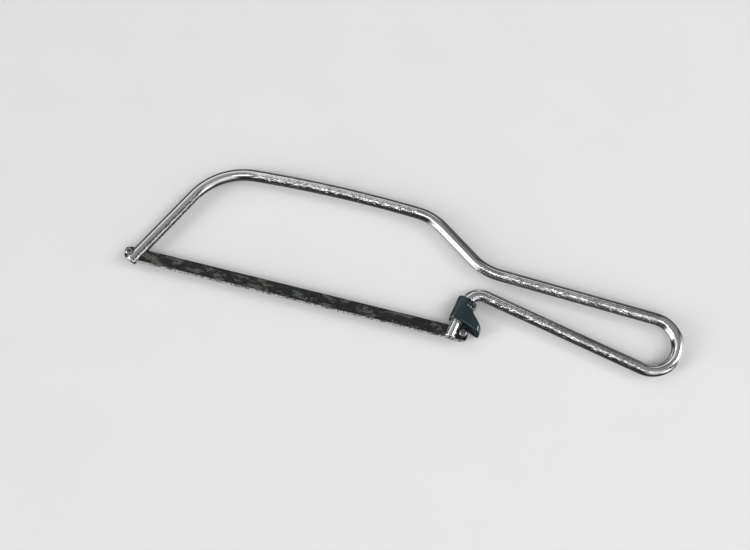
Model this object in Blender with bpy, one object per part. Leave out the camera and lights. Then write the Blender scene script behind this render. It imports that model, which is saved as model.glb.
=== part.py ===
"""Junior hacksaw with a 150 mm pin-end blade, lying flat on its side.

One round spring-steel rod is bent into the bow and an open loop handle. Both rod ends are
slotted in the plane of the saw. The blade passes through the two slots, and a cross pin in each
blade end bears on the outer face of a rod end, so that the springy bow keeps the blade tight.
The front pin lies in a notch across the rod; the rear one lies against the round rod.
A moulded finger guard is pushed over the rear leg.

X runs along the blade towards the handle, Y from the teeth to the bow, and Z is square to the
plane of the saw. The plan is drawn from the centre of the front pin, and the whole saw is then
moved so that the origin lies under the middle of its box, on the surface that it lies on.
"""

import math

import bmesh
import bpy
from mathutils import Matrix, Vector

# Frame rod: straight runs and bends, followed from the front end to the rear end.
# A run is a length; a bend is a centreline radius and the angle turned, positive to the left.
ROD_RADIUS = 0.00255
ROD_START = (0.00103, -0.00345)
ROD_START_HEADING = math.radians(64.3)
ROD_PLAN = (
    ("front leg", 0.0396),
    ("front bend", 0.0277, math.radians(-59.9)),
    ("crown", 0.571, math.radians(-7.4)),
    ("rear bend", 0.0232, math.radians(-31.6)),
    ("slope", 0.0194),
    ("throat, bow side", 0.0233, math.radians(11.5)),
    ("throat, handle side", 0.0233, math.radians(20.9)),
    ("upper grip", 0.0678),
    ("loop", 0.0114, math.radians(-189.5)),
    ("lower grip", 0.0701),
    ("knuckle bend", 0.0065, math.radians(90.0)),
    ("rear leg", 0.0166),
)
FLEX_AFTER = "throat, bow side"
FLEX_GAP = 0.0007
ROD_SIDES = 20
ROD_STEP = math.radians(9.0)
ROD_CHAMFER = 0.0004

# Blade: hardened strip with 32 teeth per inch, cut along its lower edge.
PIN_SPACING = 0.1454
BLADE_LENGTH = 0.1496
BLADE_WIDTH = 0.0060
BLADE_THICKNESS = 0.00065
BLADE_CORNER = 0.0022
BLADE_CORNER_STEPS = 5
PINS_ABOVE_MIDDLE = 0.00025
TOOTH_PITCH = 0.0254 / 32
TOOTH_DEPTH = 0.00042
TOOTH_FACE = 0.08 * TOOTH_PITCH
PLAIN_END = 0.0062

# Cross pins, pressed through the blade ends.
PIN_RADIUS = 0.0017
PIN_LENGTH = 0.0066
PIN_CHAMFER = 0.0004
PIN_SIDES = 24

# Clearances between neighbours, and the cuts in the rod ends.
CLEARANCE = 0.00025
SLOT_WIDTH = 0.00125
FRONT_SLOT_DEPTH = 0.0092
REAR_SLOT_DEPTH = 0.0077
SEAT_RADIUS = PIN_RADIUS + CLEARANCE

# Finger guard: a sleeve along the rear leg, flared into a foot behind the blade's rear end.
# A tilt is a slope across the leg; the bow, per metre, curves the foot's edge down to its tip.
# A slot in the foot lets the blade's rear end in when the bow is squeezed.
GUARD_HALF_THICKNESS = 0.0047
GUARD_FRONT_OFFSET = 0.0036
GUARD_CORNER = 0.0015
GUARD_CORNER_STEPS = 5
GUARD_FOOT_X = 0.1522
GUARD_WAIST_X = 0.1474
GUARD_SHOULDER_X = 0.1485
GUARD_FOOT_Y = 0.0045
GUARD_LIP_Y = 0.0068
GUARD_WAIST_Y = 0.0118
GUARD_SHOULDER_Y = 0.0145
GUARD_TOP_Y = 0.0153
GUARD_FOOT_TILT = -0.229
GUARD_TOP_TILT = -0.28
GUARD_FOOT_BOW = -16.7
GUARD_FOOT_RADIUS = 0.0005
GUARD_TOP_RADIUS = 0.0015
GUARD_RIM_STEPS = 3
GUARD_LEVELS = 12
GUARD_SLOT_REAR_X = 0.1500
GUARD_SLOT_TOP_Y = 0.0032

# Longer than any piece is thick, for cutters that pass right through.
BIG = 0.02


def clear_scene():
    for old in list(bpy.data.objects):
        bpy.data.objects.remove(old, do_unlink=True)


def make_material(name, colour, roughness, metallic):
    material = bpy.data.materials.new(name)
    material.use_nodes = True
    shader = material.node_tree.nodes["Principled BSDF"]
    shader.inputs["Base Color"].default_value = (*colour, 1.0)
    shader.inputs["Roughness"].default_value = roughness
    shader.inputs["Metallic"].default_value = metallic
    return material


def rod_stations():
    """The rod's centreline as a list of (stretch name, point, heading), with points on each bend."""
    point = Vector(ROD_START)
    heading = ROD_START_HEADING
    stations = [(ROD_PLAN[0][0], point.copy(), heading)]
    for name, size, *turn in ROD_PLAN:
        if not turn:
            point = point + size * Vector((math.cos(heading), math.sin(heading)))
            stations.append((name, point.copy(), heading))
            continue
        steps = max(2, math.ceil(abs(turn[0]) / ROD_STEP))
        step = turn[0] / steps
        chord = 2 * size * math.sin(abs(step) / 2)
        for _ in range(steps):
            middle = heading + step / 2
            point = point + chord * Vector((math.cos(middle), math.sin(middle)))
            heading += step
            stations.append((name, point.copy(), heading))
    return stations


def last_station(stations, name):
    return max(index for index, station in enumerate(stations) if station[0] == name)


def ring_points(point, heading, radius):
    """One round section of the rod, square to its centreline."""
    side = Vector((-math.sin(heading), math.cos(heading), 0.0))
    up = Vector((0.0, 0.0, 1.0))
    centre = Vector((point.x, point.y, 0.0))
    ring = []
    for index in range(ROD_SIDES):
        angle = 2 * math.pi * index / ROD_SIDES
        ring.append(centre + radius * (math.cos(angle) * side + math.sin(angle) * up))
    return ring


def loft(rings):
    """A closed bmesh through rings with the same number of points, capped at both ends."""
    bm = bmesh.new()
    loops = [[bm.verts.new(point) for point in ring] for ring in rings]
    count = len(rings[0])
    for lower, upper in zip(loops, loops[1:]):
        for index in range(count):
            after = (index + 1) % count
            bm.faces.new((lower[index], lower[after], upper[after], upper[index]))
    bm.faces.new(list(reversed(loops[0])))
    bm.faces.new(loops[-1])
    bmesh.ops.recalc_face_normals(bm, faces=bm.faces)
    return bm


def along(point, heading, distance):
    return point + distance * Vector((math.cos(heading), math.sin(heading)))


def rod_piece(stations, radius, chamfer_start=False, chamfer_end=False):
    """The rod through these stations, with a chamfer where it ends free."""
    rings = [ring_points(point, heading, radius) for _, point, heading in stations]
    _, first, first_heading = stations[0]
    _, last, last_heading = stations[-1]
    if chamfer_start:
        inner = along(first, first_heading, ROD_CHAMFER)
        rings[0] = ring_points(first, first_heading, radius - ROD_CHAMFER)
        rings.insert(1, ring_points(inner, first_heading, radius))
    if chamfer_end:
        inner = along(last, last_heading, -ROD_CHAMFER)
        rings[-1] = ring_points(last, last_heading, radius - ROD_CHAMFER)
        rings.insert(-1, ring_points(inner, last_heading, radius))
    return loft(rings)


def split_at_flex(stations):
    """The bow's and the handle's stations, parted square to the rod by the flex gap."""
    middle = last_station(stations, FLEX_AFTER)
    name, point, heading = stations[middle]
    bow_end = (name, along(point, heading, -FLEX_GAP / 2), heading)
    handle_start = (name, along(point, heading, FLEX_GAP / 2), heading)
    return stations[:middle] + [bow_end], [handle_start] + stations[middle + 1:]


def box_mesh(low, high):
    bm = bmesh.new()
    bmesh.ops.create_cube(bm, size=1.0)
    low = Vector(low)
    high = Vector(high)
    for vert in bm.verts:
        vert.co = Vector(
            low[axis] if vert.co[axis] < 0 else high[axis] for axis in range(3)
        )
    return bm


def cylinder_mesh(centre, radius, length, sides):
    """A round bar along Z, centred on a point of the saw's plane."""
    bm = bmesh.new()
    bmesh.ops.create_cone(
        bm, cap_ends=True, segments=sides, radius1=radius, radius2=radius, depth=length
    )
    bmesh.ops.translate(bm, verts=bm.verts, vec=(centre[0], centre[1], 0.0))
    return bm


def add_object(name, bm, origin=(0.0, 0.0), parent=None, material=None):
    """An object whose own origin is at a point of the plan; bm is drawn in the plan."""
    bmesh.ops.translate(bm, verts=bm.verts, vec=(-origin[0], -origin[1], 0.0))
    mesh = bpy.data.meshes.new(name)
    bm.to_mesh(mesh)
    bm.free()
    result = bpy.data.objects.new(name, mesh)
    bpy.context.scene.collection.objects.link(result)
    place = Vector((origin[0], origin[1], 0.0))
    if parent is not None:
        result.parent = parent
        place -= parent_place(parent)
    result.location = place
    if material is not None:
        mesh.materials.append(material)
    return result


def parent_place(parent):
    """Where an empty stands in the plan, added up along its own parents."""
    place = Vector((0.0, 0.0, 0.0))
    while parent is not None and parent.name != "saw":
        place += parent.location
        parent = parent.parent
    return place


def add_empty(name, place, parent=None):
    empty = bpy.data.objects.new(name, None)
    bpy.context.scene.collection.objects.link(empty)
    empty.empty_display_size = 0.01
    empty.location = Vector((place[0], place[1], 0.0))
    if parent is not None:
        empty.parent = parent
        empty.location -= parent_place(parent)
    return empty


def cut(target, cutter_name, cutter_mesh, parent):
    cutter = add_object(cutter_name, cutter_mesh, parent=parent)
    cutter.hide_render = True
    cutter.display_type = "WIRE"
    modifier = target.modifiers.new(cutter_name, "BOOLEAN")
    modifier.operation = "DIFFERENCE"
    modifier.solver = "EXACT"
    modifier.object = cutter


def shade_smooth(target, angle=math.radians(35)):
    target.data.shade_smooth()
    target.data.set_sharp_from_angle(angle=angle)


def end_slot(point, heading, depth):
    """A cutter for the slot in a rod end; heading points from the end into the rod."""
    bm = box_mesh((-BIG, -BIG, -SLOT_WIDTH / 2), (depth, BIG, SLOT_WIDTH / 2))
    turn = Matrix.Rotation(heading, 4, "Z")
    bmesh.ops.transform(bm, matrix=turn, verts=bm.verts)
    bmesh.ops.translate(bm, verts=bm.verts, vec=(point.x, point.y, 0.0))
    return bm


def make_frame(stations, saw, flex, material):
    bow_stations, handle_stations = split_at_flex(stations)
    _, front_end, front_heading = stations[0]
    _, rear_end, rear_heading = stations[-1]
    flex_place = parent_place(flex)

    bow_mesh = rod_piece(bow_stations, ROD_RADIUS, chamfer_start=True)
    bow = add_object("frame_bow", bow_mesh, flex_place[:2], flex, material)
    front_slot = end_slot(front_end, front_heading, FRONT_SLOT_DEPTH)
    cut(bow, "front_slot_cutter", front_slot, saw)
    front_seat = cylinder_mesh((0.0, 0.0), SEAT_RADIUS, BIG, PIN_SIDES)
    cut(bow, "front_seat_cutter", front_seat, saw)
    shade_smooth(bow)

    handle_mesh = rod_piece(handle_stations, ROD_RADIUS, chamfer_end=True)
    handle = add_object("frame_handle", handle_mesh, parent=saw, material=material)
    rear_slot = end_slot(rear_end, rear_heading + math.pi, REAR_SLOT_DEPTH)
    cut(handle, "rear_slot_cutter", rear_slot, saw)
    shade_smooth(handle)


def rounded_corner(x, y, radius, quarter, steps):
    """Points round a corner of radius centred on (x, y), turning left from a quarter turn."""
    points = []
    for step in range(steps + 1):
        angle = math.pi / 2 * (quarter + step / steps)
        points.append((x + radius * math.cos(angle), y + radius * math.sin(angle)))
    return points


def blade_outline():
    """The strip with rounded corners and a saw edge whose teeth point away from the handle."""
    overhang = (BLADE_LENGTH - PIN_SPACING) / 2
    left = -overhang
    right = PIN_SPACING + overhang
    bottom = -BLADE_WIDTH / 2 - PINS_ABOVE_MIDDLE
    top = bottom + BLADE_WIDTH
    corner = BLADE_CORNER
    steps = BLADE_CORNER_STEPS
    points = rounded_corner(left + corner, bottom + corner, corner, 2, steps)
    count = int((right - left - 2 * PLAIN_END) / TOOTH_PITCH)
    first = (left + right - count * TOOTH_PITCH) / 2
    points.append((first, bottom))
    for index in range(count):
        gullet = first + (index + 0.5) * TOOTH_PITCH
        points.append((gullet, bottom + TOOTH_DEPTH))
        points.append((gullet + TOOTH_FACE, bottom))
    points += rounded_corner(right - corner, bottom + corner, corner, 3, steps)
    points += rounded_corner(right - corner, top - corner, corner, 0, steps)
    points += rounded_corner(left + corner, top - corner, corner, 1, steps)
    return points


def make_blade(saw, pivot, material):
    outline = blade_outline()
    rings = []
    for z in (-BLADE_THICKNESS / 2, BLADE_THICKNESS / 2):
        rings.append([Vector((x, y, z)) for x, y in outline])
    blade = add_object("saw_blade", loft(rings), parent=pivot, material=material)
    for place, end in ((0.0, "front"), (PIN_SPACING, "rear")):
        hole = cylinder_mesh((place, 0.0), SEAT_RADIUS, BIG, PIN_SIDES)
        cut(blade, end + "_pin_hole_cutter", hole, saw)


def pin_mesh(place):
    """A cross pin along Z with chamfered ends, turned about its own axis."""
    half = PIN_LENGTH / 2
    profile = (
        (PIN_RADIUS - PIN_CHAMFER, -half),
        (PIN_RADIUS, -half + PIN_CHAMFER),
        (PIN_RADIUS, half - PIN_CHAMFER),
        (PIN_RADIUS - PIN_CHAMFER, half),
    )
    rings = []
    for radius, z in profile:
        ring = []
        for index in range(PIN_SIDES):
            angle = 2 * math.pi * index / PIN_SIDES
            ring.append(Vector((place + radius * math.cos(angle), radius * math.sin(angle), z)))
        rings.append(ring)
    return loft(rings)


def make_pins(pivot, material):
    for place, name in ((0.0, "front_blade_pin"), (PIN_SPACING, "rear_blade_pin")):
        pin = add_object(name, pin_mesh(place), (place, 0.0), pivot, material)
        shade_smooth(pin)


def ease(low, high, value):
    """0 below low, 1 above high, with a smooth S between."""
    share = min(1.0, max(0.0, (value - low) / (high - low)))
    return share * share * (3 - 2 * share)


def guard_rear(y):
    """The guard's rear outline: foot, concave finger rest, shoulder."""
    below = ease(GUARD_LIP_Y, GUARD_WAIST_Y, y)
    above = ease(GUARD_WAIST_Y, GUARD_SHOULDER_Y, y)
    waist = GUARD_FOOT_X + below * (GUARD_WAIST_X - GUARD_FOOT_X)
    return waist + above * (GUARD_SHOULDER_X - GUARD_WAIST_X)


def rounded_section(front, rear, half, corner):
    """A rounded rectangle in X and Z, as (x, z) points."""
    points = rounded_corner(rear - corner, half - corner, corner, 0, GUARD_CORNER_STEPS)
    points += rounded_corner(front + corner, half - corner, corner, 1, GUARD_CORNER_STEPS)
    points += rounded_corner(front + corner, -half + corner, corner, 2, GUARD_CORNER_STEPS)
    points += rounded_corner(rear - corner, -half + corner, corner, 3, GUARD_CORNER_STEPS)
    return points


def guard_heights():
    """(height over the foot, inset) up the guard, with a rounded rim at the foot and the top."""
    height = GUARD_TOP_Y - GUARD_FOOT_Y
    low = GUARD_FOOT_RADIUS
    high = height - GUARD_TOP_RADIUS
    heights = []
    for step in range(GUARD_RIM_STEPS):
        angle = math.pi / 2 * step / GUARD_RIM_STEPS
        heights.append((low * (1 - math.cos(angle)), low * (1 - math.sin(angle))))
    for level in range(GUARD_LEVELS + 1):
        heights.append((low + (high - low) * level / GUARD_LEVELS, 0.0))
    for step in range(1, GUARD_RIM_STEPS + 1):
        angle = math.pi / 2 * step / GUARD_RIM_STEPS
        rise = GUARD_TOP_RADIUS * math.sin(angle)
        heights.append((high + rise, GUARD_TOP_RADIUS * (1 - math.cos(angle))))
    return heights


def guard_ring(rise, inset, leg_x):
    """The guard's section at a height over its foot, drawn in by inset."""
    share = rise / (GUARD_TOP_Y - GUARD_FOOT_Y)
    level = GUARD_FOOT_Y + rise
    tilt = GUARD_FOOT_TILT + share * (GUARD_TOP_TILT - GUARD_FOOT_TILT)
    bow = GUARD_FOOT_BOW * (1 - share)
    centre = leg_x(level)
    front = centre - GUARD_FRONT_OFFSET + inset
    rear = guard_rear(level) - inset
    section = rounded_section(front, rear, GUARD_HALF_THICKNESS - inset, GUARD_CORNER)
    ring = []
    for x, z in section:
        out = x - centre
        ring.append(Vector((x, level + tilt * out + bow * out * out, z)))
    return ring


def make_guard(stations, saw, material):
    _, rear_end, rear_heading = stations[-1]

    def leg_x(y):
        return rear_end.x + (y - rear_end.y) / math.tan(rear_heading)

    rings = [guard_ring(rise, inset, leg_x) for rise, inset in guard_heights()]
    guard = add_object("finger_guard", loft(rings), parent=saw, material=material)
    knuckle = last_station(stations, "lower grip")
    bore = rod_piece(stations[knuckle:], ROD_RADIUS + CLEARANCE)
    cut(guard, "guard_bore_cutter", bore, saw)
    low = (rear_end.x, -BIG, -SLOT_WIDTH / 2)
    high = (GUARD_SLOT_REAR_X, GUARD_SLOT_TOP_Y, SLOT_WIDTH / 2)
    cut(guard, "guard_slot_cutter", box_mesh(low, high), saw)
    shade_smooth(guard)


def stand_on_origin(saw):
    """Moves the whole saw so that the origin lies under the middle of its box."""
    bpy.context.view_layer.update()
    graph = bpy.context.evaluated_depsgraph_get()
    corners = []
    for item in bpy.context.scene.objects:
        if item.type == "MESH" and not item.hide_render:
            evaluated = item.evaluated_get(graph)
            corners += [evaluated.matrix_world @ vert.co for vert in evaluated.data.vertices]
    low = [min(corner[axis] for corner in corners) for axis in range(3)]
    high = [max(corner[axis] for corner in corners) for axis in range(3)]
    saw.location = (-(low[0] + high[0]) / 2, -(low[1] + high[1]) / 2, -low[2])
    bpy.context.view_layer.update()


def main():
    clear_scene()
    plated = make_material("plated_rod", (0.62, 0.63, 0.64), 0.22, 1.0)
    blued = make_material("blued_steel", (0.055, 0.058, 0.055), 0.45, 0.8)
    dark = make_material("dark_pin", (0.16, 0.16, 0.17), 0.25, 1.0)
    plastic = make_material("guard_plastic", (0.022, 0.042, 0.055), 0.25, 0.0)

    stations = rod_stations()
    saw = add_empty("saw", (0.0, 0.0))
    flex_point = stations[last_station(stations, FLEX_AFTER)][1]
    flex = add_empty("frame_flex_axis", flex_point, saw)
    pivot = add_empty("blade_swing_axis", (0.0, 0.0), flex)
    make_frame(stations, saw, flex, plated)
    make_guard(stations, saw, plastic)
    make_blade(saw, pivot, blued)
    make_pins(pivot, dark)
    stand_on_origin(saw)


main()
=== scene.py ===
import math

import bmesh
import bpy
from mathutils import Matrix, Vector
from mathutils.kdtree import KDTree


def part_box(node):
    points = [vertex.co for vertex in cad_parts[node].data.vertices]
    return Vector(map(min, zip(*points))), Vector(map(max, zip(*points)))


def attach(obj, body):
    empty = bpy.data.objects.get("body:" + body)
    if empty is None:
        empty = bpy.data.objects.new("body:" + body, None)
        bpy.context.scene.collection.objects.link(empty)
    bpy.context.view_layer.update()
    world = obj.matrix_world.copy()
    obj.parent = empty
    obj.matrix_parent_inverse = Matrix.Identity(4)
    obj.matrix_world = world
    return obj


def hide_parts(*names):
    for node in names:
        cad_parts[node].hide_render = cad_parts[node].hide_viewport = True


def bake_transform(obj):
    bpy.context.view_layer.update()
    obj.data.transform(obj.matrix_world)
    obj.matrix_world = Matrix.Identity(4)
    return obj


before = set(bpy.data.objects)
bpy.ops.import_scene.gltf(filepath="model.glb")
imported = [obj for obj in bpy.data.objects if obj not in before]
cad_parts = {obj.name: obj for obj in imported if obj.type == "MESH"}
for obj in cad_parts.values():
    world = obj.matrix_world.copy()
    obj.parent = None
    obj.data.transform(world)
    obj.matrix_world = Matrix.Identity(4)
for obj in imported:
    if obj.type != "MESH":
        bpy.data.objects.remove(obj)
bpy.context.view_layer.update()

# A junior hacksaw lying on its side: one bent rod with a loop handle, a pin-end blade held between
# the rod's slotted ends by two cross pins, and a moulded finger guard. Each piece is drawn in a
# plan, in metres from the front pin's centre as in the CAD source, and then moved into the frame.
PIN_LOW, PIN_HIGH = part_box("front_blade_pin")
REAR_LOW, REAR_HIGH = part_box("rear_blade_pin")
ORIGIN = (PIN_LOW + PIN_HIGH) / 2
REAR_PIN = (REAR_LOW + REAR_HIGH) / 2 - ORIGIN
PIN_RADIUS = (PIN_HIGH.x - PIN_LOW.x) / 2

# Longer than any piece is thick, for cutters that pass right through.
BIG = 0.02
CUTTER_SIDES = 64


# ---------------------------------------------------------------- helpers


def new_object(name, bm):
    mesh = bpy.data.meshes.new(name)
    bm.to_mesh(mesh)
    bm.free()
    result = bpy.data.objects.new(name, mesh)
    bpy.context.scene.collection.objects.link(result)
    return result


def grid_mesh(rings):
    """A closed tube through rings with equal point counts."""
    bm = bmesh.new()
    loops = [[bm.verts.new(point) for point in ring] for ring in rings]
    count = len(rings[0])
    for lower, upper in zip(loops, loops[1:]):
        for index in range(count):
            after = (index + 1) % count
            bm.faces.new((lower[index], lower[after], upper[after], upper[index]))
    bm.faces.new(list(reversed(loops[0])))
    bm.faces.new(loops[-1])
    bmesh.ops.recalc_face_normals(bm, faces=bm.faces)
    return bm


def box_mesh(low, high):
    bm = bmesh.new()
    bmesh.ops.create_cube(bm, size=1.0)
    for vert in bm.verts:
        vert.co = Vector(low[a] if vert.co[a] < 0 else high[a] for a in range(3))
    return bm


def cylinder_mesh(x, y, radius):
    """A cutter for a round hole through the plane of the saw."""
    bm = bmesh.new()
    bmesh.ops.create_cone(
        bm, cap_ends=True, segments=CUTTER_SIDES, radius1=radius, radius2=radius, depth=BIG
    )
    bmesh.ops.translate(bm, verts=bm.verts, vec=(x, y, 0.0))
    return bm


def carve(target, meshes):
    """Cuts each mesh out of target and leaves one plain mesh."""
    cutters = []
    for index, bm in enumerate(meshes):
        cutter = new_object(f"{target.name}_cutter_{index}", bm)
        cutters.append(cutter)
        modifier = target.modifiers.new(cutter.name, "BOOLEAN")
        modifier.operation = "DIFFERENCE"
        modifier.solver = "EXACT"
        modifier.object = cutter
    graph = bpy.context.evaluated_depsgraph_get()
    carved = bpy.data.meshes.new_from_object(target.evaluated_get(graph))
    target.modifiers.clear()
    old = target.data
    target.data = carved
    bpy.data.meshes.remove(old)
    for cutter in cutters:
        bpy.data.objects.remove(cutter)


def finish_mesh(target, sharp_angle):
    """Smooth shading with sharp edges, and the mesh moved from the plan into the frame."""
    target.data.shade_smooth()
    target.data.set_sharp_from_angle(angle=math.radians(sharp_angle))
    target.data.transform(Matrix.Translation(ORIGIN))


def ease(low, high, value):
    """0 below low, 1 above high, and a smooth step between them."""
    share = min(1.0, max(0.0, (value - low) / (high - low)))
    return share * share * (3 - 2 * share)


# ---------------------------------------------------------------- rod

# Straight runs and bends, followed from the front end to the rear end. A run is a length; a bend
# is a centreline radius and the angle turned, positive to the left.
ROD_RADIUS = 0.00255
ROD_START = (0.00103, -0.00345)
ROD_START_HEADING = math.radians(64.3)
ROD_PLAN = (
    ("front leg", 0.0396),
    ("front bend", 0.0277, math.radians(-59.9)),
    ("crown", 0.571, math.radians(-7.4)),
    ("rear bend", 0.0232, math.radians(-31.6)),
    ("slope", 0.0194),
    ("throat, bow side", 0.0233, math.radians(11.5)),
    ("throat, handle side", 0.0233, math.radians(20.9)),
    ("upper grip", 0.0678),
    ("loop", 0.0114, math.radians(-189.5)),
    ("lower grip", 0.0701),
    ("knuckle bend", 0.0065, math.radians(90.0)),
    ("rear leg", 0.0166),
)
ROD_STEP = 0.0009
ROD_SIDES = 56
ROD_SHARP_ANGLE = 35.0

# The broken edge round each rod end, the sawn slots, and the notch that the front pin lies in.
ROD_END_RADIUS = 0.0005
ROD_END_STEPS = 4
SLOT_WIDTH = 0.00105
FRONT_SLOT_DEPTH = 0.0092
REAR_SLOT_DEPTH = 0.0077
SEAT_RADIUS = PIN_RADIUS + 0.0001

# How strongly drawing and plating ripple each stretch, from 0 for smooth to 1. Neighbours blend
# over RELIEF_SPREAD to each side. The side away from the saw edge keeps RELIEF_FAR_SIDE, and the
# change lies in RELIEF_SIDE_BAND across the rod, in shares of its radius towards the saw edge.
ROD_RELIEF = {
    "front leg": 0.25,
    "front bend": 0.06,
    "crown": 1.0,
    "rear bend": 0.12,
    "slope": 0.04,
    "throat, bow side": 0.15,
    "throat, handle side": 0.45,
    "upper grip": 0.9,
    "loop": 0.25,
    "lower grip": 1.0,
    "knuckle bend": 0.35,
    "rear leg": 0.3,
}
RELIEF_SPREAD = 0.005
RELIEF_FAR_SIDE = 0.12
RELIEF_SIDE_BAND = (-0.1, 0.35)
RELIEF_STEP = 0.0002


def stretch_length(size, turn):
    return abs(size * turn[0]) if turn else size


def rod_path(step=ROD_STEP):
    """(distance, x, y, heading) along the rod's centreline, evenly stepped on each stretch."""
    x, y = ROD_START
    heading = ROD_START_HEADING
    distance = 0.0
    rows = [(distance, x, y, heading)]
    for _, size, *turn in ROD_PLAN:
        length = stretch_length(size, turn)
        count = max(2, math.ceil(length / step))
        for index in range(1, count + 1):
            share = index / count
            if turn:
                side = math.copysign(1.0, turn[0])
                angle = heading + turn[0] * share
                along = x + side * size * (math.sin(angle) - math.sin(heading))
                up = y - side * size * (math.cos(angle) - math.cos(heading))
            else:
                angle = heading
                along = x + math.cos(heading) * size * share
                up = y + math.sin(heading) * size * share
            rows.append((distance + length * share, along, up, angle))
        distance, x, y, heading = rows[-1]
    return rows


def rod_ring(x, y, heading, radius):
    ring = []
    for index in range(ROD_SIDES):
        angle = 2 * math.pi * index / ROD_SIDES
        across = radius * math.cos(angle)
        up = radius * math.sin(angle)
        ring.append(Vector((x - across * math.sin(heading), y + across * math.cos(heading), up)))
    return ring


def rod_end_rings(row, inward):
    """The rounded edge of one rod end, from its face inward: inward is 1 or -1 along the rod."""
    _, x, y, heading = row
    rings = []
    for step in range(ROD_END_STEPS + 1):
        angle = math.pi / 2 * step / ROD_END_STEPS
        inset = ROD_END_RADIUS * (1 - math.sin(angle))
        shift = inward * ROD_END_RADIUS * (1 - math.cos(angle))
        end_x = x + shift * math.cos(heading)
        end_y = y + shift * math.sin(heading)
        rings.append(rod_ring(end_x, end_y, heading, ROD_RADIUS - inset))
    return rings


def end_slot(x, y, heading, depth):
    """A cutter for the slot of a rod end at (x, y), heading into the rod."""
    bm = box_mesh((-BIG, -BIG, -SLOT_WIDTH / 2), (depth, BIG, SLOT_WIDTH / 2))
    bmesh.ops.transform(bm, matrix=Matrix.Rotation(heading, 4, "Z"), verts=bm.verts)
    bmesh.ops.translate(bm, verts=bm.verts, vec=(x, y, 0.0))
    return bm


def make_rod():
    rows = rod_path()
    front, *between, rear = rows
    rings = rod_end_rings(front, 1.0)
    rings += [rod_ring(x, y, heading, ROD_RADIUS) for _, x, y, heading in between]
    rings += reversed(rod_end_rings(rear, -1.0))
    rod = new_object("bent_rod", grid_mesh(rings))
    _, front_x, front_y, front_heading = front
    _, rear_x, rear_y, rear_heading = rear
    carve(
        rod,
        [
            end_slot(front_x, front_y, front_heading, FRONT_SLOT_DEPTH),
            cylinder_mesh(0.0, 0.0, SEAT_RADIUS),
            end_slot(rear_x, rear_y, rear_heading + math.pi, REAR_SLOT_DEPTH),
        ],
    )
    store_rod_space(rod)
    finish_mesh(rod, ROD_SHARP_ANGLE)
    return rod


def relief_steps():
    """(distance of its far end, relief) of each stretch along the rod."""
    distance = 0.0
    steps = []
    for name, size, *turn in ROD_PLAN:
        distance += stretch_length(size, turn)
        steps.append((distance, ROD_RELIEF[name]))
    return steps


def relief_at(distance, steps):
    value = steps[0][1]
    for (edge, before), (_, after) in zip(steps, steps[1:]):
        value += (after - before) * ease(edge - RELIEF_SPREAD, edge + RELIEF_SPREAD, distance)
    return value


def store_rod_space(rod):
    """Each vertex keeps its place on the unrolled rod, and how strongly the surface ripples."""
    rows = rod_path(RELIEF_STEP)
    steps = relief_steps()
    tree = KDTree(len(rows))
    for index, (_, x, y, _) in enumerate(rows):
        tree.insert((x, y, 0.0), index)
    tree.balance()
    spaces = []
    reliefs = []
    for vert in rod.data.vertices:
        _, index, _ = tree.find((vert.co.x, vert.co.y, 0.0))
        distance, x, y, heading = rows[index]
        ahead = (vert.co.x - x) * math.cos(heading) + (vert.co.y - y) * math.sin(heading)
        across = (vert.co.y - y) * math.cos(heading) - (vert.co.x - x) * math.sin(heading)
        spaces += [distance + ahead, across, vert.co.z]
        saw_side = ease(*RELIEF_SIDE_BAND, -across / ROD_RADIUS * math.cos(heading))
        side_relief = RELIEF_FAR_SIDE + (1 - RELIEF_FAR_SIDE) * saw_side
        reliefs.append(side_relief * relief_at(distance, steps))
    rod.data.attributes.new("rod_space", "FLOAT_VECTOR", "POINT")
    rod.data.attributes["rod_space"].data.foreach_set("vector", spaces)
    rod.data.attributes.new("rod_relief", "FLOAT", "POINT")
    rod.data.attributes["rod_relief"].data.foreach_set("value", reliefs)


# ---------------------------------------------------------------- blade

BLADE_LOW, BLADE_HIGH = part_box("saw_blade")
BLADE_LEFT = BLADE_LOW.x - ORIGIN.x
BLADE_RIGHT = BLADE_HIGH.x - ORIGIN.x
BLADE_BOTTOM = BLADE_LOW.y - ORIGIN.y
BLADE_TOP = BLADE_HIGH.y - ORIGIN.y
BLADE_HALF = (BLADE_HIGH.z - BLADE_LOW.z) / 2
BLADE_CORNER = 0.0022
BLADE_CORNER_STEPS = 8
BLADE_BEVEL = 0.00008
BLADE_HOLE_RADIUS = PIN_RADIUS + 0.00004
BLADE_SHARP_ANGLE = 28.0
PLAIN_END = 0.0062

# 32 teeth per inch. The profile runs from one tooth's point to the next, as shares of the pitch
# along the edge and of the depth up from it.
TOOTH_PITCH = 0.0254 / 32
TOOTH_DEPTH = 0.00042
TOOTH_PROFILE = ((0.42, 0.86), (0.56, 1.0), (0.70, 0.90), (0.76, 0.02), (1.0, 0.0))

# The wavy set: the edge swings from side to side, and the swing fades up to SET_HEIGHT above the
# edge and over SET_FADE at each end of the teeth.
SET_WAVE = 0.0034
SET_SWING = 0.00011
SET_HEIGHT = 0.0011
SET_FADE = 0.003

# How far up from the points of the teeth the bare, bright steel starts to fade, and where it ends.
BRIGHT_EDGE_FADE = 0.0004
BRIGHT_EDGE_END = 0.0009

# Where each column of the blade has its points: shares of the height of the set, and then shares
# of what is left up to the top edge.
SET_LEVELS = (0.0, 0.25, 0.5, 0.75)
FACE_LEVELS = (0.3, 0.6, 0.9)


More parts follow.
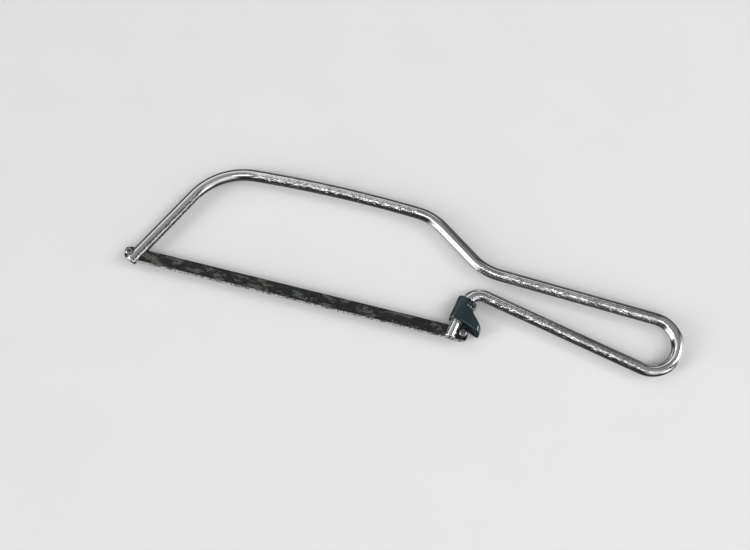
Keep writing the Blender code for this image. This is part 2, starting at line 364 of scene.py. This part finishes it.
def blade_columns():
    """(x, bottom) along the saw edge, from the front corner to the rear corner."""
    corner = []
    for step in range(BLADE_CORNER_STEPS + 1):
        angle = math.pi / 2 * step / BLADE_CORNER_STEPS
        corner.append((BLADE_CORNER * (1 - math.cos(angle)), BLADE_CORNER * (1 - math.sin(angle))))
    columns = [(BLADE_LEFT + inset, BLADE_BOTTOM + rise) for inset, rise in corner]
    count = int((BLADE_RIGHT - BLADE_LEFT - 2 * PLAIN_END) / TOOTH_PITCH)
    first = (BLADE_LEFT + BLADE_RIGHT - count * TOOTH_PITCH) / 2
    columns.append((first, BLADE_BOTTOM))
    for index in range(count):
        start = first + index * TOOTH_PITCH
        for along, rise in TOOTH_PROFILE:
            columns.append((start + along * TOOTH_PITCH, BLADE_BOTTOM + rise * TOOTH_DEPTH))
    columns += [(BLADE_RIGHT - inset, BLADE_BOTTOM + rise) for inset, rise in reversed(corner)]
    return columns


def set_swing(x, y):
    """How far the wavy set leans the blade sideways at a point of it."""
    depth = max(0.0, min(1.0, (BLADE_BOTTOM + SET_HEIGHT - y) / SET_HEIGHT))
    inside = min(x - BLADE_LEFT - PLAIN_END, BLADE_RIGHT - PLAIN_END - x)
    fade = max(0.0, min(1.0, inside / SET_FADE))
    return SET_SWING * fade * depth * math.sin(2 * math.pi * x / SET_WAVE)


def blade_ring(x, bottom):
    """The blade's cross-section at x: up one face, over the bevelled top and down the other."""
    from_end = min(x - BLADE_LEFT, BLADE_RIGHT - x)
    corner_share = min(from_end, BLADE_CORNER) / BLADE_CORNER
    top = BLADE_TOP - BLADE_CORNER * (1 - math.sqrt(1 - (1 - corner_share) ** 2))
    reach = BLADE_BOTTOM + SET_HEIGHT - bottom
    if from_end < PLAIN_END / 4:
        reach = (top - bottom) / 4
    heights = [bottom + reach * level for level in SET_LEVELS]
    heights += [heights[-1] + (top - heights[-1]) * level for level in FACE_LEVELS]
    front = [(x, y, BLADE_HALF + set_swing(x, y)) for y in heights]
    back = [(x, y, -BLADE_HALF + set_swing(x, y)) for y in reversed(heights)]
    edge = [
        (x, top - BLADE_BEVEL, BLADE_HALF),
        (x, top, BLADE_HALF - BLADE_BEVEL),
        (x, top, -BLADE_HALF + BLADE_BEVEL),
        (x, top - BLADE_BEVEL, -BLADE_HALF),
    ]
    return [Vector(point) for point in front + edge + back]


def make_blade():
    rings = [blade_ring(x, bottom) for x, bottom in blade_columns()]
    blade = new_object("hacksaw_blade", grid_mesh(rings))
    carve(
        blade,
        [
            cylinder_mesh(0.0, 0.0, BLADE_HOLE_RADIUS),
            cylinder_mesh(REAR_PIN.x, REAR_PIN.y, BLADE_HOLE_RADIUS),
        ],
    )
    finish_mesh(blade, BLADE_SHARP_ANGLE)
    return blade


# ---------------------------------------------------------------- pins

PIN_SIDES = 56
PIN_SHARP_ANGLE = 40.0

# The slightly domed end, as shares of the radius and drops from the end, and its rounded rim.
PIN_DOME = ((0.12, 0.0), (0.42, 0.00001), (0.7, 0.00005))
PIN_RIM_DROP = 0.0001
PIN_RIM_RADIUS = 0.00045
PIN_RIM_SHARES = (0.0, 0.33, 0.66, 1.0)


def pin_profile(radius, half):
    """(radius, height) down the pin, from the middle of one end to the middle of the other."""
    profile = [(share * radius, half - drop) for share, drop in PIN_DOME]
    for share in PIN_RIM_SHARES:
        angle = share * math.pi / 2
        out = radius - PIN_RIM_RADIUS * (1 - math.sin(angle))
        drop = PIN_RIM_DROP + PIN_RIM_RADIUS * (1 - math.cos(angle))
        profile.append((out, half - drop))
    return profile + [(out, -height) for out, height in reversed(profile)]


def make_pin(name, low, high):
    centre = (low + high) / 2 - ORIGIN
    rings = []
    for out, height in pin_profile((high.x - low.x) / 2, (high.z - low.z) / 2):
        ring = []
        for index in range(PIN_SIDES):
            angle = 2 * math.pi * index / PIN_SIDES
            ring.append(
                Vector(
                    (centre.x + out * math.cos(angle), centre.y + out * math.sin(angle), height)
                )
            )
        rings.append(ring)
    pin = new_object(name, grid_mesh(rings))
    finish_mesh(pin, PIN_SHARP_ANGLE)
    return pin


# ---------------------------------------------------------------- finger guard

# A sleeve along the rear leg, flared into a foot, as in the CAD source. A tilt is a slope across
# the leg; the bow, per metre, curves the foot's edge down to its tip.
GUARD_LOW, GUARD_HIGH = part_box("finger_guard")
GUARD_HALF = (GUARD_HIGH.z - GUARD_LOW.z) / 2
GUARD_FRONT_OFFSET = 0.0036
GUARD_CORNER = 0.0022
GUARD_CORNER_STEPS = 10
GUARD_CROWN = 0.00035
GUARD_FACE_STEPS = 10
GUARD_FOOT_X = 0.1522
GUARD_WAIST_X = 0.1474
GUARD_SHOULDER_X = 0.1485
GUARD_FOOT_Y = 0.0045
GUARD_LIP_Y = 0.0068
GUARD_WAIST_Y = 0.0118
GUARD_SHOULDER_Y = 0.0145
GUARD_TOP_Y = 0.0153
GUARD_FOOT_TILT = -0.229
GUARD_TOP_TILT = -0.28
GUARD_FOOT_BOW = -16.7
GUARD_FOOT_RADIUS = 0.0009
GUARD_TOP_RADIUS = 0.0015
GUARD_RIM_STEPS = 6
GUARD_LEVELS = 40
GUARD_SHARP_ANGLE = 40.0

# The bore for the rod, and the slot in the foot that lets the blade's rear end in when the bow is
# squeezed.
GUARD_BORE_RADIUS = ROD_RADIUS + 0.00006
GUARD_BORE_LENGTH = 0.0275
GUARD_SLOT_REAR_X = 0.1500
GUARD_SLOT_TOP_Y = 0.0032


def guard_rear(y):
    """The guard's rear face at a height: out at the foot, in at the waist, out at the shoulder."""
    below = ease(GUARD_LIP_Y, GUARD_WAIST_Y, y)
    above = ease(GUARD_WAIST_Y, GUARD_SHOULDER_Y, y)
    waist = GUARD_FOOT_X + below * (GUARD_WAIST_X - GUARD_FOOT_X)
    return waist + above * (GUARD_SHOULDER_X - GUARD_WAIST_X)


def crowned_face(start, end, level):
    """Points across a face from start to end, bulging out by the crown in its middle."""
    points = []
    for step in range(1, GUARD_FACE_STEPS):
        share = step / GUARD_FACE_STEPS
        bulge = GUARD_CROWN * (1 - (2 * share - 1) ** 2)
        points.append((start + (end - start) * share, level + math.copysign(bulge, level)))
    return points


def rounded_section(front, rear, half):
    """A rounded rectangle in X and Z whose two flat faces are slightly crowned."""
    points = []
    shoulder = half - GUARD_CROWN
    corner_z = shoulder - GUARD_CORNER
    corners = (
        (rear - GUARD_CORNER, corner_z),
        (front + GUARD_CORNER, corner_z),
        (front + GUARD_CORNER, -corner_z),
        (rear - GUARD_CORNER, -corner_z),
    )
    for quarter, (x, z) in enumerate(corners):
        for step in range(GUARD_CORNER_STEPS + 1):
            angle = math.pi / 2 * (quarter + step / GUARD_CORNER_STEPS)
            points.append((x + GUARD_CORNER * math.cos(angle), z + GUARD_CORNER * math.sin(angle)))
        if quarter in (0, 2):
            points += crowned_face(x, front + rear - x, math.copysign(shoulder, z))
    return points


def guard_heights():
    """(height above the foot, inset of the outline) up the guard, with its two rounded rims."""
    low = GUARD_FOOT_RADIUS
    high = GUARD_TOP_Y - GUARD_FOOT_Y - GUARD_TOP_RADIUS
    heights = []
    for step in range(GUARD_RIM_STEPS):
        angle = math.pi / 2 * step / GUARD_RIM_STEPS
        heights.append((low * (1 - math.cos(angle)), low * (1 - math.sin(angle))))
    for level in range(GUARD_LEVELS + 1):
        heights.append((low + (high - low) * level / GUARD_LEVELS, 0.0))
    for step in range(1, GUARD_RIM_STEPS + 1):
        angle = math.pi / 2 * step / GUARD_RIM_STEPS
        rise = GUARD_TOP_RADIUS * math.sin(angle)
        heights.append((high + rise, GUARD_TOP_RADIUS * (1 - math.cos(angle))))
    return heights


def make_guard():
    rows = rod_path()
    rod_length, end_x, end_y, end_heading = rows[-1]
    rings = []
    for rise, inset in guard_heights():
        share = rise / (GUARD_TOP_Y - GUARD_FOOT_Y)
        level = GUARD_FOOT_Y + rise
        tilt = GUARD_FOOT_TILT + share * (GUARD_TOP_TILT - GUARD_FOOT_TILT)
        bow = GUARD_FOOT_BOW * (1 - share)
        leg_x = end_x + (level - end_y) / math.tan(end_heading)
        section = rounded_section(
            leg_x - GUARD_FRONT_OFFSET + inset, guard_rear(level) - inset, GUARD_HALF - inset
        )
        ring = []
        for x, z in section:
            out = x - leg_x
            ring.append(Vector((x, level + tilt * out + bow * out * out, z)))
        rings.append(ring)
    guard = new_object("finger_guard_moulding", grid_mesh(rings))
    bore = [
        rod_ring(x, y, heading, GUARD_BORE_RADIUS)
        for distance, x, y, heading in rows
        if distance > rod_length - GUARD_BORE_LENGTH
    ]
    slot = box_mesh(
        (end_x, -BIG, -SLOT_WIDTH / 2), (GUARD_SLOT_REAR_X, GUARD_SLOT_TOP_Y, SLOT_WIDTH / 2)
    )
    carve(guard, [grid_mesh(bore), slot])
    finish_mesh(guard, GUARD_SHARP_ANGLE)
    return guard


# ---------------------------------------------------------------- materials


class Nodes:
    """A short way to write a node tree."""

    def __init__(self, tree):
        self.tree = tree

    def add(self, kind, inputs=None, **settings):
        node = self.tree.nodes.new(kind)
        for key, value in settings.items():
            setattr(node, key, value)
        for key, value in (inputs or {}).items():
            self.feed(node, key, value)
        return node

    def feed(self, node, key, value):
        """Links a socket to an input, or sets the input to a plain value."""
        if isinstance(value, bpy.types.NodeSocket):
            self.tree.links.new(value, node.inputs[key])
        else:
            node.inputs[key].default_value = value

    def noise(self, vector, scale, detail, rough=0.5, distortion=0.0, offset=(0.0, 0.0, 0.0)):
        """Noise with scale cells per metre along each axis, from about 0.3 to 0.7."""
        mapped = self.add("ShaderNodeMapping", {"Vector": vector, "Scale": scale})
        self.feed(mapped, "Location", offset)
        node = self.add("ShaderNodeTexNoise", {"Vector": mapped.outputs["Vector"], "Scale": 1.0})
        self.feed(node, "Detail", detail)
        self.feed(node, "Roughness", rough)
        self.feed(node, "Distortion", distortion)
        return node.outputs["Fac"]

    def math(self, operation, a, b=0.0):
        return self.add("ShaderNodeMath", {0: a, 1: b}, operation=operation).outputs[0]

    def ramp(self, value, low, high, start=0.0, end=1.0):
        """A smooth step: start where value is low, end where it is high."""
        node = self.add("ShaderNodeMapRange", {"Value": value}, interpolation_type="SMOOTHSTEP")
        self.feed(node, "From Min", low)
        self.feed(node, "From Max", high)
        self.feed(node, "To Min", start)
        self.feed(node, "To Max", end)
        return node.outputs["Result"]

    def mix(self, factor, a, b):
        """A blend of two colours, each a socket or an RGB triple."""
        node = self.add("ShaderNodeMix", {"Factor": factor}, data_type="RGBA")
        for index, value in ((6, a), (7, b)):
            is_socket = isinstance(value, bpy.types.NodeSocket)
            self.feed(node, index, value if is_socket else (*value, 1.0))
        return node.outputs[2]

    def attribute(self, name, output):
        return self.add("ShaderNodeAttribute", attribute_name=name).outputs[output]

    def place(self):
        """Where a point is on the object, in metres."""
        return self.add("ShaderNodeTexCoord").outputs["Object"]

    def bump(self, height, distance, normal=None):
        node = self.add("ShaderNodeBump", {"Height": height, "Distance": distance})
        self.feed(node, "Strength", 1.0)
        if normal is not None:
            self.feed(node, "Normal", normal)
        return node.outputs["Normal"]


class Finish(Nodes):
    """The node tree of a new material, with its shader."""

    def __init__(self, name):
        self.material = bpy.data.materials.new(name)
        self.material.use_nodes = True
        super().__init__(self.material.node_tree)
        self.shader = self.tree.nodes["Principled BSDF"]

    def set(self, key, value):
        self.feed(self.shader, key, value)


def plated_rod():
    """Bright plate over drawn steel: fine lines along the rod, ripples, and a few dark pits."""
    n = Finish("nickel_plated_rod")
    space = n.attribute("rod_space", "Vector")
    relief = n.attribute("rod_relief", "Fac")
    ripples = n.noise(space, (700.0, 1150.0, 1150.0), 1.5, 0.55)
    patches = n.noise(space, (38.0, 60.0, 60.0), 2.0)
    lines = n.noise(space, (45.0, 5200.0, 5200.0), 2.0, 0.6)
    wave = n.noise(space, (180.0, 420.0, 420.0), 1.0)
    pits = n.noise(space, (2600.0, 3000.0, 3000.0), 1.0)

    plate = n.mix(n.ramp(patches, 0.35, 0.7), (0.66, 0.67, 0.68), (0.74, 0.74, 0.74))
    in_pit = n.ramp(pits, 0.27, 0.36, 0.55, 0.0)
    n.set("Base Color", n.mix(in_pit, plate, (0.22, 0.21, 0.20)))
    n.set("Metallic", 1.0)
    worn = n.ramp(patches, 0.3, 0.75, 0.05, 0.09)
    n.set("Roughness", n.math("ADD", worn, n.ramp(lines, 0.3, 0.8, 0.0, 0.03)))

    normal = n.bump(n.math("MULTIPLY", ripples, relief), 0.00044)
    normal = n.bump(n.math("MULTIPLY", wave, relief), 0.00014, normal)
    n.set("Normal", n.bump(lines, 0.000004, normal))
    return n.material


def blued_steel():
    """Dark oxide with crisp bare patches, small flecks and a bright, broken saw edge."""
    n = Finish("blued_strip")
    where = n.place()
    patches = n.noise(where, (170.0, 430.0, 430.0), 6.0, 0.62, 0.6)
    flecks = n.noise(where, (1000.0, 1400.0, 1400.0), 4.0, 0.65)
    tint = n.noise(where, (330.0, 420.0, 420.0), 2.0, offset=(3.1, 0.4, 1.7))
    rolled = n.noise(where, (60.0, 7000.0, 7000.0), 2.0)

    oxide = n.mix(n.ramp(tint, 0.38, 0.62), (0.019, 0.028, 0.023), (0.036, 0.031, 0.034))
    bare = n.mix(n.ramp(tint, 0.42, 0.60), (0.112, 0.124, 0.110), (0.126, 0.116, 0.112))
    bare = n.mix(n.ramp(flecks, 0.46, 0.36), bare, (0.060, 0.055, 0.048))
    colour = n.mix(n.ramp(patches, 0.525, 0.565), oxide, bare)
    in_fleck = n.math("MULTIPLY", n.ramp(flecks, 0.64, 0.69), 0.8)
    colour = n.mix(in_fleck, colour, (0.34, 0.33, 0.31))

    height = n.add("ShaderNodeSeparateXYZ", {"Vector": where}).outputs["Y"]
    points = ORIGIN.y + BLADE_BOTTOM
    on_teeth = n.ramp(height, points + BRIGHT_EDGE_FADE, points + BRIGHT_EDGE_END, 1.0, 0.0)
    on_teeth = n.math("MULTIPLY", on_teeth, n.ramp(flecks, 0.47, 0.52, 0.05, 1.0))
    n.set("Base Color", n.mix(on_teeth, colour, (0.84, 0.82, 0.79)))

    n.set("Metallic", 0.75)
    n.set("Roughness", n.ramp(flecks, 0.3, 0.7, 0.28, 0.44))
    n.set("Normal", n.bump(rolled, 0.000002, n.bump(flecks, 0.00003)))
    return n.material


def pin_steel():
    """Dark, glossy and slightly dented hardened steel."""
    n = Finish("pin_steel")
    where = n.place()
    blotch = n.noise(where, (1100.0, 1100.0, 1100.0), 3.0)
    dents = n.noise(where, (1500.0, 1500.0, 1500.0), 2.0)
    colour = n.mix(n.ramp(blotch, 0.42, 0.60), (0.10, 0.10, 0.11), (0.34, 0.35, 0.36))
    n.set("Base Color", colour)
    n.set("Metallic", 1.0)
    n.set("Roughness", n.ramp(blotch, 0.3, 0.7, 0.10, 0.22))
    n.set("Normal", n.bump(dents, 0.00012))
    return n.material


def guard_plastic():
    """Glossy blue-black moulded plastic, slightly wavy, with fine scuffs."""
    n = Finish("moulded_plastic")
    where = n.place()
    cloud = n.noise(where, (300.0, 300.0, 300.0), 3.0)
    fine = n.noise(where, (3800.0, 3800.0, 3800.0), 2.0)
    scuffs = n.noise(where, (500.0, 3000.0, 500.0), 4.0, 0.7)
    colour = n.mix(n.ramp(cloud, 0.35, 0.65), (0.003, 0.010, 0.013), (0.006, 0.017, 0.021))
    n.set("Base Color", colour)
    n.set("Roughness", n.ramp(scuffs, 0.35, 0.75, 0.10, 0.20))
    n.set("IOR", 1.5)
    n.set("Coat Weight", 0.5)
    n.set("Coat Roughness", 0.05)
    n.set("Normal", n.bump(fine, 0.000002, n.bump(cloud, 0.00010)))
    return n.material


def floor_material():
    n = Finish("pale_floor")
    soft = n.noise(n.place(), (30.0, 30.0, 30.0), 3.0)
    n.set("Base Color", n.mix(soft, (0.60, 0.60, 0.60), (0.63, 0.63, 0.63)))
    n.set("Roughness", 0.7)
    n.set("Specular IOR Level", 0.2)
    return n.material


def dress(target, material):
    target.data.materials.clear()
    target.data.materials.append(material)


# ---------------------------------------------------------------- stage

FLOOR_HALF_SIZE = 6.0

# The key panel: direction in degrees, distance and side in metres, and radiance.
KEY_AZIMUTH = -40.0
KEY_ELEVATION = 58.0
KEY_DISTANCE = 1.2
KEY_SIDE = 0.7
KEY_RADIANCE = 3.0

# Soft boxes and sheets round the saw, as the polished rod mirrors them: azimuth from +X towards
# +Y, half width, lowest and highest elevation and soft edge, in degrees, and then radiance.
ALL_ROUND = 180
STUDIO = {
    "ceiling": (90, ALL_ROUND, 60, 120, 26, 0.30),
    "far_sheet": (120, 44, 28, 50, 11, 0.74),
    "leg_sheet": (132, 26, 22, 66, 12, 0.34),
    "slope_sheet": (56, 12, 16, 62, 10, 0.26),
    "near_sheet": (-88, 40, 30, 60, 14, 0.32),
    "near_lamp": (-100, 27, 53, 65, 7, 3.2),
    "left_box": (-146, 22, -56, 54, 14, 1.50),
    "left_lamp": (-146, 9, 8, 40, 12, 7.0),
    "right_box": (-48, 24, -2, 60, 16, 0.80),
    "right_low_box": (-26, 12, -12, 24, 14, 0.90),
    "right_end_box": (16, 18, -70, 60, 18, 0.95),
    "right_lamp": (18, 9, 34, 54, 12, 8.0),
    "left_end_box": (172, 16, 26, 62, 20, 1.00),
    "far_strip": (105, 60, -60, -6, 10, 0.20),
    "near_strip": (-75, 60, -80, -24, 20, 0.05),
}
STUDIO_BASE = 0.03
BACKDROP = 0.72

# About 19 degrees from straight above, turned so that the blade runs down to the right.
CAMERA_PLACE = Vector((0.01510, -0.14323, 0.40680))
CAMERA_RIGHT = Vector((0.9693, 0.2453, 0.0139))
CAMERA_AHEAD = Vector((-0.0672, 0.3191, -0.9454))
CAMERA_LENS = 48.0
CAMERA_SENSOR = 36.0


def make_floor():
    bm = bmesh.new()
    bmesh.ops.create_grid(bm, x_segments=2, y_segments=2, size=FLOOR_HALF_SIZE)
    floor = new_object("floor", bm)
    dress(floor, floor_material())
    floor.visible_glossy = False


def studio_window(n, elevation, toward, azimuth, half, low, high, soft, radiance):
    """The light of one soft-edged window. toward gives the cosine of the turn from an azimuth."""
    edge = math.radians(soft) / 2
    low = math.radians(low)
    high = math.radians(high)
    light = n.ramp(elevation, low - edge, low + edge, 0.0, radiance)
    light = n.math("MULTIPLY", light, n.ramp(elevation, high - edge, high + edge, 1.0, 0.0))
    if half == ALL_ROUND:
        return light
    inner = math.cos(max(0.0, math.radians(half) - edge))
    outer = math.cos(math.radians(half) + edge)
    return n.math("MULTIPLY", light, n.ramp(toward(math.radians(azimuth)), outer, inner))


def studio_radiance(n):
    """The light that comes to the saw from each direction of the studio."""
    direction = n.add("ShaderNodeTexCoord").outputs["Generated"]
    split = n.add("ShaderNodeSeparateXYZ", {"Vector": direction})
    x, y, z = (split.outputs[axis] for axis in "XYZ")
    elevation = n.math("ARCSINE", z)
    flat = n.math("SQRT", n.math("ADD", n.math("MULTIPLY", x, x), n.math("MULTIPLY", y, y)))
    flat = n.math("MAXIMUM", flat, 0.0001)

    def toward(azimuth):
        side = n.math("MULTIPLY", x, math.cos(azimuth))
        side = n.math("ADD", side, n.math("MULTIPLY", y, math.sin(azimuth)))
        return n.math("DIVIDE", side, flat)

    total = STUDIO_BASE
    for window in STUDIO.values():
        total = n.math("ADD", studio_window(n, elevation, toward, *window), total)
    return total


def make_world():
    """The studio round the saw. The camera itself sees an even pale backdrop past the floor."""
    world = bpy.data.worlds.new("studio")
    world.use_nodes = True
    n = Nodes(world.node_tree)
    camera_ray = n.add("ShaderNodeLightPath").outputs["Is Camera Ray"]
    radiance = n.add("ShaderNodeMix", {"Factor": camera_ray}, data_type="FLOAT")
    n.feed(radiance, 2, studio_radiance(n))
    n.feed(radiance, 3, BACKDROP)
    background = n.tree.nodes["Background"]
    n.feed(background, "Color", (1.0, 1.0, 1.0, 1.0))
    n.feed(background, "Strength", radiance.outputs[0])
    bpy.context.scene.world = world


def make_key():
    """A soft panel that lights the floor and casts the shadows. It has no reflection in the
    saw, which mirrors the studio of make_world instead."""
    data = bpy.data.lights.new("key", "AREA")
    data.shape = "RECTANGLE"
    data.size = KEY_SIDE
    data.size_y = KEY_SIDE
    data.energy = KEY_RADIANCE * math.pi * KEY_SIDE * KEY_SIDE
    key = bpy.data.objects.new("key", data)
    bpy.context.scene.collection.objects.link(key)
    azimuth = math.radians(KEY_AZIMUTH)
    elevation = math.radians(KEY_ELEVATION)
    level = math.cos(elevation)
    back = Vector((math.cos(azimuth) * level, math.sin(azimuth) * level, math.sin(elevation)))
    key.location = back * KEY_DISTANCE
    key.rotation_mode = "QUATERNION"
    key.rotation_quaternion = (-back).to_track_quat("-Z", "Y")
    key.visible_camera = False
    key.visible_glossy = False


def make_camera():
    data = bpy.data.cameras.new("camera")
    data.sensor_width = CAMERA_SENSOR
    data.lens = CAMERA_LENS
    data.clip_start = 0.01
    data.clip_end = 50.0
    camera = bpy.data.objects.new("camera", data)
    bpy.context.scene.collection.objects.link(camera)
    ahead = CAMERA_AHEAD.normalized()
    up = CAMERA_RIGHT.cross(ahead).normalized()
    matrix = Matrix((ahead.cross(up), up, -ahead)).transposed().to_4x4()
    matrix.translation = CAMERA_PLACE
    camera.matrix_world = matrix
    bpy.context.scene.camera = camera


# ---------------------------------------------------------------- assembly


def add_rod():
    rod = make_rod()
    dress(rod, plated_rod())
    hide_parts("frame_bow", "frame_handle")
    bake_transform(rod)


def add_blade():
    blade = make_blade()
    dress(blade, blued_steel())
    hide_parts("saw_blade")
    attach(blade, "blade")


def add_pins():
    steel = pin_steel()
    for name, node, low, high in (
        ("front_cross_pin", "front_blade_pin", PIN_LOW, PIN_HIGH),
        ("rear_cross_pin", "rear_blade_pin", REAR_LOW, REAR_HIGH),
    ):
        pin = make_pin(name, low, high)
        dress(pin, steel)
        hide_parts(node)
        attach(pin, "blade")


def add_guard():
    guard = make_guard()
    dress(guard, guard_plastic())
    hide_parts("finger_guard")
    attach(guard, "handle")


def main():
    make_camera()
    make_world()
    make_key()
    make_floor()
    bpy.context.scene.view_settings.view_transform = "Standard"
    add_rod()
    add_blade()
    add_pins()
    add_guard()


main()
